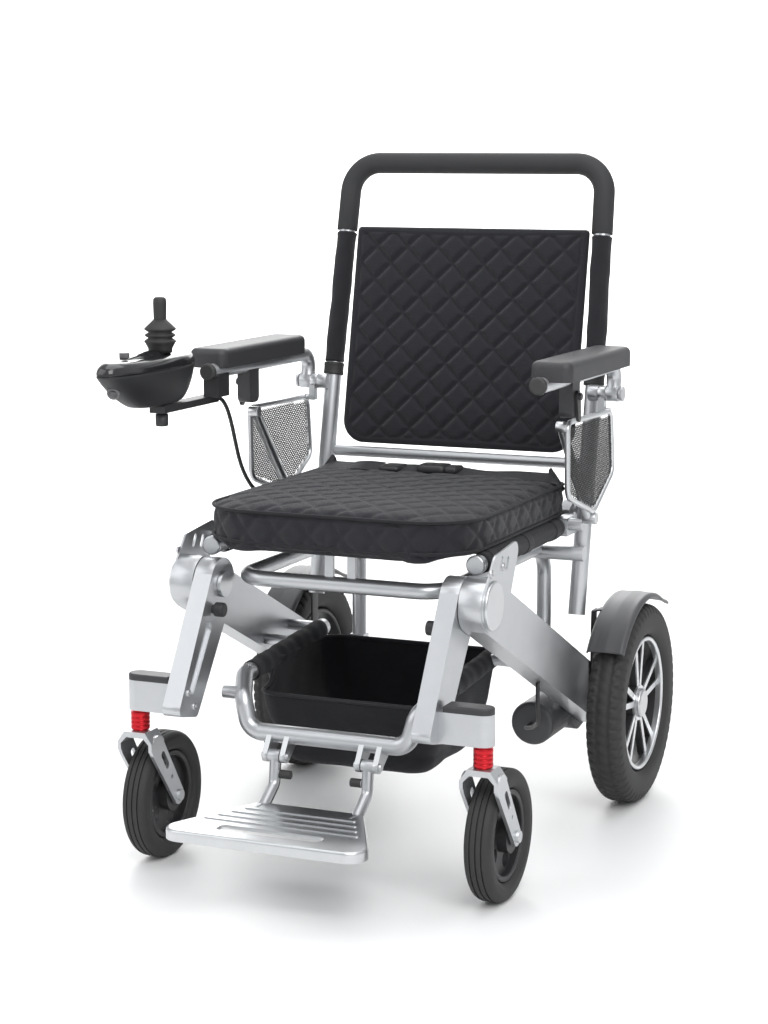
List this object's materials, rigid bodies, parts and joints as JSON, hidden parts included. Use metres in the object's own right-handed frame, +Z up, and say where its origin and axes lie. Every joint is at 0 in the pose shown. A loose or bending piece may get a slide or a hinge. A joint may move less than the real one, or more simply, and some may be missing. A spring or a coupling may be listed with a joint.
{
  "type": "power wheelchair",
  "caption": "Folding powered wheelchair with box-beam side arms, swivel front casters, driven rear wheels, flip-up armrests and a joystick pod.",
  "frame": {"origin": "floor level under the middle of the overall width and length", "axes": "+X to the user's left, +Y backwards, +Z up"},
  "size_m": [0.6, 0.889, 0.978],
  "materials": {
    "silver_frame": "satin silver",
    "silver_bright": "brushed",
    "black_plastic": "fine grain",
    "gloss_black": "gloss",
    "grey_plastic": "fine grain",
    "black_rubber": "matte",
    "tyre": "matte",
    "red_anodised": "anodised",
    "black_fabric": "woven",
    "quilted_fabric": "quilted weave",
    "mesh_fabric": "open mesh",
    "webbing": "webbing",
    "foam": "foam",
    "steel": "brushed",
    "pad": "moulded foam",
    "battery": "matte"
  },
  "bodies": {
    "frame": {"rear_arms": "silver_frame", "hub_drums": "silver_frame", "battery_packs": "battery", "seat_tubes": "silver_frame", "seat_sling": "black_fabric", "seat_cushion": "quilted_fabric", "seat_loop": "silver_frame", "seat_brackets": "silver_bright", "carrier_tube": "silver_frame", "footplate_hinges": "silver_bright", "basket": "black_fabric", "drive_motors": "black_plastic", "mudguards": "grey_plastic", "motor_cables": "black_rubber", "seat_belt": "webbing"},
    "footrest": {"footplate": "silver_bright", "footplate_arms": "silver_frame"},
    "back": {"back_frame": "silver_frame", "back_sleeves": "black_fabric", "back_grip": "foam", "back_panel": "quilted_fabric"},
    "pod": {"pod_shell": "gloss_black"},
    "power_key": {"power_button": "grey_plastic"},
    "gimbal": {"gimbal_ring": "black_plastic"},
    "stick": {"joystick": "black_plastic", "stick_boot": "black_rubber"},
    "leg_left": {"front_leg_left": "silver_frame", "caster_arm_left": "silver_frame"},
    "knob_left": {"lock_knob_left": "black_plastic"},
    "fork_left": {"caster_fork_left": "silver_bright", "stem_bush_left": "red_anodised"},
    "caster_left": {"caster_hub_left": "black_plastic", "caster_tyre_left": "tyre"},
    "wheel_left": {"rear_tyre_left": "tyre", "rear_rim_left": "silver_bright", "rear_shaft_left": "steel"},
    "freewheel_left": {"freewheel_lever_left": "red_anodised"},
    "guard_left": {"guard_frame_left": "silver_frame", "guard_mesh_left": "mesh_fabric"},
    "rest_left": {"rest_tube_left": "silver_frame", "rest_pad_left": "pad"},
    "lever_left": {"rest_lever_left": "silver_bright"},
    "leg_right": {"front_leg_right": "silver_frame", "caster_arm_right": "silver_frame"},
    "knob_right": {"lock_knob_right": "black_plastic"},
    "fork_right": {"caster_fork_right": "silver_bright", "stem_bush_right": "red_anodised"},
    "caster_right": {"caster_hub_right": "black_plastic", "caster_tyre_right": "tyre"},
    "wheel_right": {"rear_tyre_right": "tyre", "rear_rim_right": "silver_bright", "rear_shaft_right": "steel"},
    "freewheel_right": {"freewheel_lever_right": "red_anodised"},
    "guard_right": {"guard_frame_right": "silver_frame", "guard_mesh_right": "mesh_fabric"},
    "rest_right": {"rest_tube_right": "silver_frame", "rest_pad_right": "pad", "pod_bracket": "black_plastic", "controller_cable": "black_rubber"},
    "lever_right": {"rest_lever_right": "silver_bright"}
  },
  "joints": [
    {"name": "leg_fold_left", "type": "hinge", "parent": "frame", "child": "leg_left", "pos_m": [0.181, -0.2045, 0.39], "axis": [1, 0, 0], "range_deg": [0, 44]},
    {"name": "lock_knob_pull_left", "type": "slide", "parent": "leg_left", "child": "knob_left", "axis": [-1, 0, 0], "range_m": [0, 0.008], "stiffness_N_per_m": 400},
    {"name": "caster_swivel_left", "type": "hinge", "parent": "leg_left", "child": "fork_left", "pos_m": [0.252, -0.2925, 0.23], "axis": [0, 0, 1], "continuous": true},
    {"name": "caster_spin_left", "type": "hinge", "parent": "fork_left", "child": "caster_left", "pos_m": [0.252, -0.2325, 0.089], "axis": [1, 0, 0], "continuous": true},
    {"name": "wheel_spin_left", "type": "hinge", "parent": "frame", "child": "wheel_left", "pos_m": [0.272, 0.2925, 0.152], "axis": [1, 0, 0], "continuous": true},
    {"name": "freewheel_turn_left", "type": "hinge", "parent": "frame", "child": "freewheel_left", "pos_m": [0.136, 0.2925, 0.17], "axis": [-1, 0, 0], "range_deg": [0, 40]},
    {"name": "leg_fold_right", "type": "hinge", "parent": "frame", "child": "leg_right", "pos_m": [-0.181, -0.2045, 0.39], "axis": [1, 0, 0], "range_deg": [0, 44]},
    {"name": "lock_knob_pull_right", "type": "slide", "parent": "leg_right", "child": "knob_right", "axis": [1, 0, 0], "range_m": [0, 0.008], "stiffness_N_per_m": 400},
    {"name": "caster_swivel_right", "type": "hinge", "parent": "leg_right", "child": "fork_right", "pos_m": [-0.252, -0.2925, 0.23], "axis": [0, 0, 1], "continuous": true},
    {"name": "caster_spin_right", "type": "hinge", "parent": "fork_right", "child": "caster_right", "pos_m": [-0.252, -0.2325, 0.089], "axis": [1, 0, 0], "continuous": true},
    {"name": "wheel_spin_right", "type": "hinge", "parent": "frame", "child": "wheel_right", "pos_m": [-0.272, 0.2925, 0.152], "axis": [1, 0, 0], "continuous": true},
    {"name": "freewheel_turn_right", "type": "hinge", "parent": "frame", "child": "freewheel_right", "pos_m": [-0.136, 0.2925, 0.17], "axis": [-1, 0, 0], "range_deg": [0, 40]},
    {"name": "footrest_flip", "type": "hinge", "parent": "frame", "child": "footrest", "pos_m": [0, -0.2445, 0.165], "axis": [1, 0, 0], "range_deg": [-90, 0]},
    {"name": "back_fold", "type": "hinge", "parent": "frame", "child": "back", "pos_m": [0, 0.2335, 0.455], "axis": [1, 0, 0], "range_deg": [0, 75], "deforming": ["seat_cushion", "seat_belt"]},
    {"name": "guard_link_left", "type": "hinge", "parent": "back", "child": "guard_left", "pos_m": [0.24, 0.2505, 0.627], "axis": [1, 0, 0], "range_deg": [-75, 0]},
    {"name": "armrest_flip_left", "type": "hinge", "parent": "guard_left", "child": "rest_left", "pos_m": [0.249, 0.2505, 0.627], "axis": [1, 0, 0], "range_deg": [-95, 0]},
    {"name": "latch_lever_left", "type": "hinge", "parent": "rest_left", "child": "lever_left", "pos_m": [0.262, 0.0455, 0.644], "axis": [1, 0, 0], "range_deg": [-45, 0], "stiffness_Nm_per_rad": 0.05},
    {"name": "guard_link_right", "type": "hinge", "parent": "back", "child": "guard_right", "pos_m": [-0.24, 0.2505, 0.627], "axis": [1, 0, 0], "range_deg": [-75, 0]},
    {"name": "armrest_flip_right", "type": "hinge", "parent": "guard_right", "child": "rest_right", "pos_m": [-0.249, 0.2505, 0.627], "axis": [1, 0, 0], "range_deg": [-95, 0], "deforming": ["controller_cable"]},
    {"name": "latch_lever_right", "type": "hinge", "parent": "rest_right", "child": "lever_right", "pos_m": [-0.262, 0.0455, 0.644], "axis": [1, 0, 0], "range_deg": [-45, 0], "stiffness_Nm_per_rad": 0.05},
    {"name": "pod_swing", "type": "hinge", "parent": "rest_right", "child": "pod", "pos_m": [-0.266, -0.1925, 0.64], "axis": [0, 0, 1], "range_deg": [-80, 0]},
    {"name": "stick_pitch", "type": "hinge", "parent": "pod", "child": "gimbal", "pos_m": [-0.27, -0.1865, 0.7], "axis": [1, 0, 0], "range_deg": [-18, 18], "stiffness_Nm_per_rad": 0.4},
    {"name": "stick_roll", "type": "hinge", "parent": "gimbal", "child": "stick", "pos_m": [-0.27, -0.1865, 0.7], "axis": [0, 1, 0], "range_deg": [-18, 18], "stiffness_Nm_per_rad": 0.4},
    {"name": "power_press", "type": "slide", "parent": "pod", "child": "power_key", "axis": [0, 0, 1], "range_m": [-0.0012, 0], "stiffness_N_per_m": 600}
  ],
  "couplings": [
    {"joint": "guard_link_left", "follows": "back_fold", "ratio": -1},
    {"joint": "guard_link_right", "follows": "back_fold", "ratio": -1}
  ]
}
